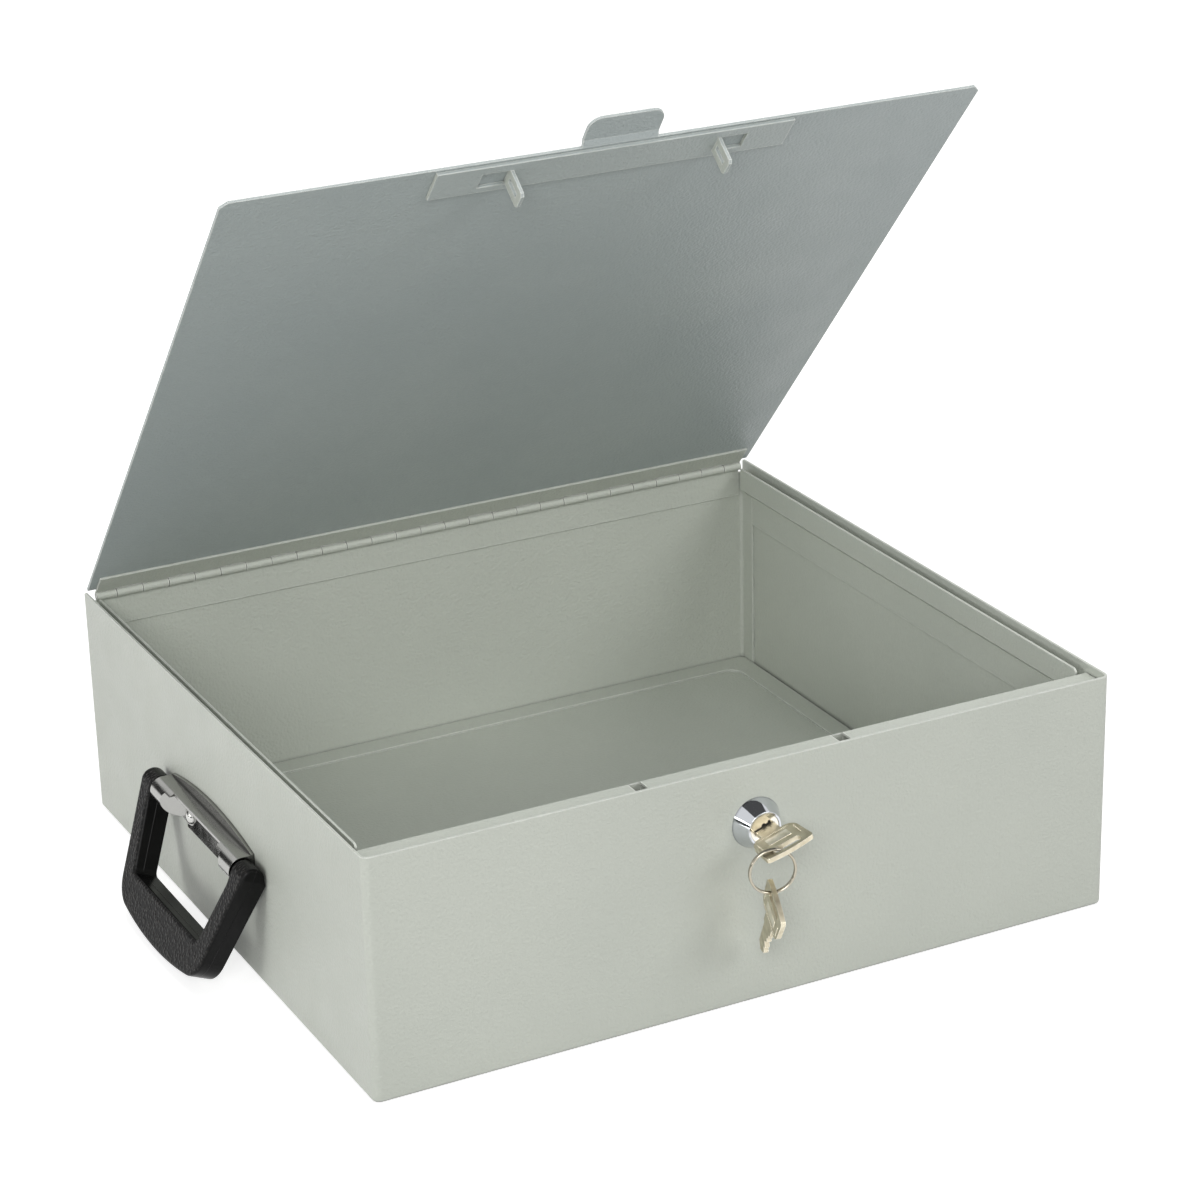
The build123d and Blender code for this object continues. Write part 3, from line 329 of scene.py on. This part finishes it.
# Painted shade: the hasp strip is the body's paint darkened like the lid, while the tongue sides facing
# TONGUE_OUT take the body's paint.
hasp_painted_shade_coat = powder_coat("hasp_coat_in_painted_shade", HASP_PAINTED_SHADE, HASP_PAINTED_SHADE_DARKER, TONGUE_OUT)
chrome = plated("bright_chrome", CHROME, 0.03, 0.09, 700.0, 0.00005)
bracket_plate = plated("bracket_plate", BRACKET_STEEL, 0.15, 0.23, 200.0, 0.00004)
rivet_plate = plated("rivet_plate", RIVET_STEEL, 0.10, 0.22, 900.0, 0.00008)
ring_plate = plated("ring_plate", RING_STEEL, 0.06, 0.16, 1500.0, 0.00002)
nickel = plated("worn_nickel", NICKEL, 0.10, 0.24, 1500.0, 0.00003)
zinc = plated("zinc_plate", ZINC, 0.28, 0.46, 900.0, 0.00004)
key_metal = stamped("key_metal", KEY_METAL, KEY_SHADE)
rubbed_metal = stamped("rubbed_key_metal", NICKEL, KEY_METAL)
# Painted shade: a near-black finish for the thin sheet that stands for the keyway's hollow.
keyway_painted_shade = plated("keyway_painted_shade", KEYWAY_SHADE_COLOUR, 0.5, 0.7, 1500.0, 0.00002)
black = moulded_grain("black_grained_plastic")

FINISHES = {
    grey_paint: (
        "outer_shell",
        "floor_panel",
        "rear_wall",
        "left_rail",
        "right_rail",
        "front_ledge",
        "body_hinge_leaf",
        "lid_hinge_leaf",
    ),
    lid_painted_shade_coat: ("lid_panel",),
    hasp_painted_shade_coat: ("hasp_strip",),
    chrome: ("lock_housing",),
    rivet_plate: ("handle_rivets",),
    bracket_plate: ("handle_bracket",),
    nickel: ("lock_plug",),
    ring_plate: ("key_ring",),
    zinc: ("hinge_pin", "lock_nut", "lock_cam", "cam_screw", "lock_bar", "bar_guides"),
    key_metal: ("key", "spare_key"),
    black: ("handle_grip",),
}
for material, names in FINISHES.items():
    for name in names:
        nodes[name].data.materials.clear()
        nodes[name].data.materials.append(material)


# The plain raised panel and beaded border that the die leaves on both faces of a key's bow

BOW_FACE = 0.001
BOW_NEAR = -0.0055
PANEL = (0.0104, 0.0046, 0.00016)
PANEL_MIDDLE = -0.0108
BEAD = 0.00026
BEAD_PITCH = 0.0007
BEAD_INSET = 0.0014
BOW_HALF = 0.0100
BEAD_RUN = 0.009


def add_panel(mesh, side):
    """A low bevelled panel on one face."""
    made = bmesh.ops.create_cube(mesh, size=1.0)["verts"]
    for vertex in made:
        vertex.co.x *= PANEL[0]
        vertex.co.y = vertex.co.y * PANEL[1] + PANEL_MIDDLE
        vertex.co.z = vertex.co.z * 2 * PANEL[2] + side * BOW_FACE
    edges = dict.fromkeys(edge for vertex in made for edge in vertex.link_edges)
    bmesh.ops.bevel(mesh, geom=list(edges), offset=0.6 * PANEL[2], segments=2, affect="EDGES", profile=0.5)


def add_beads(mesh, side):
    """Half-round beads along the near edge of the bow and down its two sides."""
    reach = BOW_HALF - BEAD_INSET
    across = int(2 * reach / BEAD_PITCH)
    down = int(BEAD_RUN / BEAD_PITCH)
    row = [(i * BEAD_PITCH - reach, BOW_NEAR - BEAD_INSET) for i in range(2, across - 1)]
    sides = [(x, BOW_NEAR - BEAD_INSET - i * BEAD_PITCH) for i in range(3, down) for x in (-reach, reach)]
    for x, y in row + sides:
        made = bmesh.ops.create_icosphere(mesh, subdivisions=1, radius=BEAD)["verts"]
        bmesh.ops.translate(mesh, verts=made, vec=(x, y, side * BOW_FACE))


def new_piece(name, mesh, material, body):
    """Make an object of a bmesh and let it ride on a body."""
    bmesh.ops.recalc_face_normals(mesh, faces=mesh.faces)
    data = bpy.data.meshes.new(name)
    mesh.to_mesh(data)
    mesh.free()
    piece = bpy.data.objects.new(name, data)
    bpy.context.scene.collection.objects.link(piece)
    data.materials.append(material)
    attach(piece, body)
    return piece


def placed(mesh, origin, across, along):
    """Move a bmesh drawn in a frame of its own to that frame's place."""
    turn = Matrix((across, along, across.cross(along))).transposed().to_4x4()
    mesh.transform(Matrix.Translation(origin) @ turn)


def key_relief(name, body, origin, across, along):
    mesh = bmesh.new()
    for side in (-1, 1):
        add_beads(mesh, side)
    # The panels come last, since whatever follows a bevel has its faces in another order each run
    for side in (-1, 1):
        add_panel(mesh, side)
    placed(mesh, origin, across, along)
    new_piece(name, mesh, rubbed_metal, body).data.shade_smooth()


EYE_ALONG = -0.0178
EYE_ACROSS = -0.0047
SPARE_DROP = 0.0104
spare_ahead = Vector((math.sin(SPARE_TURN), -math.cos(SPARE_TURN), 0.0))
spare_across = spare_ahead * math.cos(SPARE_LEAN) - Vector((0.0, 0.0, math.sin(SPARE_LEAN)))
spare_up = Vector((math.cos(SPARE_TURN), math.sin(SPARE_TURN), 0.0))
spare_along = spare_up.cross(spare_across)
spare_hang = Vector((0.0, 0.0, SPARE_DROP))
spare_origin = SPARE_SEAT - spare_hang - spare_across * EYE_ACROSS - spare_along * EYE_ALONG
key_across = Vector((math.cos(KEY_TILT), 0.0, math.sin(KEY_TILT)))
key_up = Vector((-math.sin(KEY_TILT), 0.0, math.cos(KEY_TILT)))
key_relief("key_relief", "key", KEY_FACE, key_across, Vector((0.0, 1.0, 0.0)))
key_relief("spare_relief", "spare", spare_origin, spare_across, spare_along)

# The warded opening of the keyway, above the blade on the face of the plug, in millimetres; a thin
# near-black sheet of this outline is painted shade that stands for the hollow behind it
KEYWAY = (
    (-4.9, 1.12),
    (3.3, 1.12),
    (3.3, 2.0),
    (3.0, 2.7),
    (2.3, 2.7),
    (2.0, 2.0),
    (0.9, 1.9),
    (0.5, 2.6),
    (-0.6, 2.5),
    (-1.2, 1.5),
    (-4.9, 1.4),
)
KEYWAY_DEPTH = 0.00006


def keyway_shade_sheet():
    mesh = bmesh.new()
    back = [mesh.verts.new((x / 1000, y / 1000, 0.0)) for x, y in KEYWAY]
    front = [mesh.verts.new((x / 1000, y / 1000, KEYWAY_DEPTH)) for x, y in KEYWAY]
    mesh.faces.new(back)
    mesh.faces.new(front)
    for i in range(len(KEYWAY)):
        mesh.faces.new((back[i - 1], back[i], front[i], front[i - 1]))
    if any(len(edge.link_faces) != 2 for edge in mesh.edges):
        raise ValueError("the keyway opening isn't closed")
    placed(mesh, KEY_FACE, key_across, key_up)
    new_piece("keyway_shade_sheet", mesh, keyway_painted_shade, "plug")


keyway_shade_sheet()


# Stage: a white floor that keeps a faint shadow, and a white world behind it
PAPER = (0.60, 0.60, 0.60, 1.0)
FLOOR_GLOW = 0.72
FLOOR_SIZE = 12.0
FLOOR_DROP = 0.0002
SHADOW_REACH = 0.3
WHITE_REACH = 1.0
WORLD_LEVEL = 0.24


def seen_directly(tree, kinds):
    """1 for the rays of these kinds, 0 for the rest."""
    seen = tree.nodes.new("ShaderNodeLightPath")
    result = seen.outputs[kinds[0]]
    for kind in kinds[1:]:
        either = tree.nodes.new("ShaderNodeMath")
        either.operation = "MAXIMUM"
        tree.links.new(result, either.inputs[0])
        tree.links.new(seen.outputs[kind], either.inputs[1])
        result = either.outputs[0]
    return result


BACKGROUND_RAYS = ("Is Camera Ray", "Is Glossy Ray", "Is Transmission Ray")


def stage_material():
    """White paper whose glow carries it to white, so that only the shadow on it stays grey."""
    material = bpy.data.materials.new("white_floor")
    material.use_nodes = True
    tree = material.node_tree
    tree.nodes.clear()
    paper = tree.nodes.new("ShaderNodeBsdfDiffuse")
    paper.inputs["Color"].default_value = PAPER
    glow = tree.nodes.new("ShaderNodeEmission")
    place = tree.nodes.new("ShaderNodeTexCoord")
    reach = tree.nodes.new("ShaderNodeVectorMath")
    reach.operation = "LENGTH"
    level = tree.nodes.new("ShaderNodeMapRange")
    level.inputs["From Min"].default_value = SHADOW_REACH
    level.inputs["From Max"].default_value = WHITE_REACH
    level.inputs["To Min"].default_value = FLOOR_GLOW
    level.inputs["To Max"].default_value = 1.0
    share = tree.nodes.new("ShaderNodeMath")
    share.operation = "MULTIPLY"
    both = tree.nodes.new("ShaderNodeAddShader")
    output = tree.nodes.new("ShaderNodeOutputMaterial")
    tree.links.new(place.outputs["Object"], reach.inputs[0])
    tree.links.new(reach.outputs["Value"], level.inputs["Value"])
    tree.links.new(seen_directly(tree, BACKGROUND_RAYS), share.inputs[0])
    tree.links.new(level.outputs["Result"], share.inputs[1])
    tree.links.new(share.outputs[0], glow.inputs["Strength"])
    tree.links.new(paper.outputs[0], both.inputs[0])
    tree.links.new(glow.outputs[0], both.inputs[1])
    tree.links.new(both.outputs[0], output.inputs["Surface"])
    return material


def build_floor(size):
    mesh = bpy.data.meshes.new("floor")
    half = size / 2
    corners = [(-half, -half, 0), (half, -half, 0), (half, half, 0), (-half, half, 0)]
    mesh.from_pydata(corners, [], [(0, 1, 2, 3)])
    floor = bpy.data.objects.new("floor", mesh)
    bpy.context.scene.collection.objects.link(floor)
    floor.location.z = -FLOOR_DROP
    mesh.materials.append(stage_material())


def build_world(level):
    world = bpy.data.worlds.new("studio")
    bpy.context.scene.world = world
    world.use_nodes = True
    tree = world.node_tree
    tree.nodes.clear()
    dim = tree.nodes.new("ShaderNodeBackground")
    dim.inputs["Strength"].default_value = level
    white = tree.nodes.new("ShaderNodeBackground")
    for background in (dim, white):
        background.inputs["Color"].default_value = (1.0, 1.0, 1.0, 1.0)
    mixed = tree.nodes.new("ShaderNodeMixShader")
    output = tree.nodes.new("ShaderNodeOutputWorld")
    tree.links.new(seen_directly(tree, BACKGROUND_RAYS), mixed.inputs["Fac"])
    tree.links.new(dim.outputs[0], mixed.inputs[1])
    tree.links.new(white.outputs[0], mixed.inputs[2])
    tree.links.new(mixed.outputs[0], output.inputs["Surface"])


def add_card(name, place, aim, width, height, shade):
    """A grey card that only gloss sees, so that bright metal has dark bands as well as white ones."""
    mesh = bpy.data.meshes.new(name)
    x = width / 2
    y = height / 2
    mesh.from_pydata([(-x, -y, 0), (x, -y, 0), (x, y, 0), (-x, y, 0)], [], [(0, 1, 2, 3)])
    material = bpy.data.materials.new(name)
    material.use_nodes = True
    tree = material.node_tree
    tree.nodes.clear()
    glow = tree.nodes.new("ShaderNodeEmission")
    glow.inputs["Color"].default_value = (shade, shade, shade, 1.0)
    output = tree.nodes.new("ShaderNodeOutputMaterial")
    tree.links.new(glow.outputs[0], output.inputs["Surface"])
    mesh.materials.append(material)
    card = bpy.data.objects.new(name, mesh)
    bpy.context.scene.collection.objects.link(card)
    card.location = place
    card.rotation_euler = (Vector(aim) - Vector(place)).to_track_quat("-Z", "Y").to_euler()
    card.visible_camera = False
    card.visible_diffuse = False
    card.visible_shadow = False
    card.visible_transmission = False


def add_lamp(name, place, aim, size, power, shows=True):
    lamp = bpy.data.lights.new(name, "AREA")
    lamp.shape = "DISK"
    lamp.size = size
    lamp.energy = power
    holder = bpy.data.objects.new(name, lamp)
    bpy.context.scene.collection.objects.link(holder)
    holder.location = place
    holder.rotation_euler = (Vector(aim) - Vector(place)).to_track_quat("-Z", "Y").to_euler()
    holder.visible_glossy = shows


build_floor(FLOOR_SIZE)
build_world(WORLD_LEVEL)
add_lamp("lamp_right", (1.2, -1.9, 1.5), (0.0, 0.0, 0.05), 1.2, 16.0)
add_lamp("lamp_front", (-1.0, -1.6, 1.1), (0.0, 0.0, 0.05), 1.0, 18.0)
add_lamp("lamp_left", (-1.75, 0.1, 0.28), (0.0, 0.1, 0.03), 0.8, 9.0)
add_lamp("lamp_over", (0.2, 0.0, 2.2), (0.0, 0.0, 0.0), 1.5, 20.0, shows=False)
add_card("card_over", (0.1, 0.3, 1.9), (0.0, 0.0, 0.1), 2.2, 1.9, 0.10)
add_card("card_back", (-1.0, 1.7, 0.52), (-0.1, 0.0, 0.1), 2.0, 0.75, 0.05)
add_card("card_left", (-1.7, -0.1, 0.22), (0.0, 0.0, 0.1), 1.6, 0.36, 0.06)

# Camera, solved from the corners of the box in the photograph
AZIMUTH = math.radians(-26.92)
ELEVATION = math.radians(22.29)
ROLL = math.radians(-1.395)
DISTANCE = 1.5195
TRACK_X = 0.00813
TRACK_Y = 0.06586
FOCAL_SHARE = 3467.12 / 1200
SENSOR = 36.0
TARGET = Vector((0.0, 0.0, 0.05))


def add_camera():
    back = Vector((
        math.sin(AZIMUTH) * math.cos(ELEVATION),
        -math.cos(AZIMUTH) * math.cos(ELEVATION),
        math.sin(ELEVATION),
    ))
    level = Vector((math.cos(AZIMUTH), math.sin(AZIMUTH), 0.0))
    upright = back.cross(level)
    right = level * math.cos(ROLL) + upright * math.sin(ROLL)
    up = upright * math.cos(ROLL) - level * math.sin(ROLL)
    camera = bpy.data.cameras.new("camera")
    camera.sensor_width = SENSOR
    camera.lens = FOCAL_SHARE * SENSOR
    holder = bpy.data.objects.new("camera", camera)
    bpy.context.scene.collection.objects.link(holder)
    turn = Matrix((right, up, back)).transposed().to_4x4()
    place = TARGET + back * DISTANCE + right * TRACK_X + up * TRACK_Y
    holder.matrix_world = Matrix.Translation(place) @ turn
    bpy.context.scene.camera = holder


add_camera()
bpy.context.scene.view_settings.view_transform = "Standard"
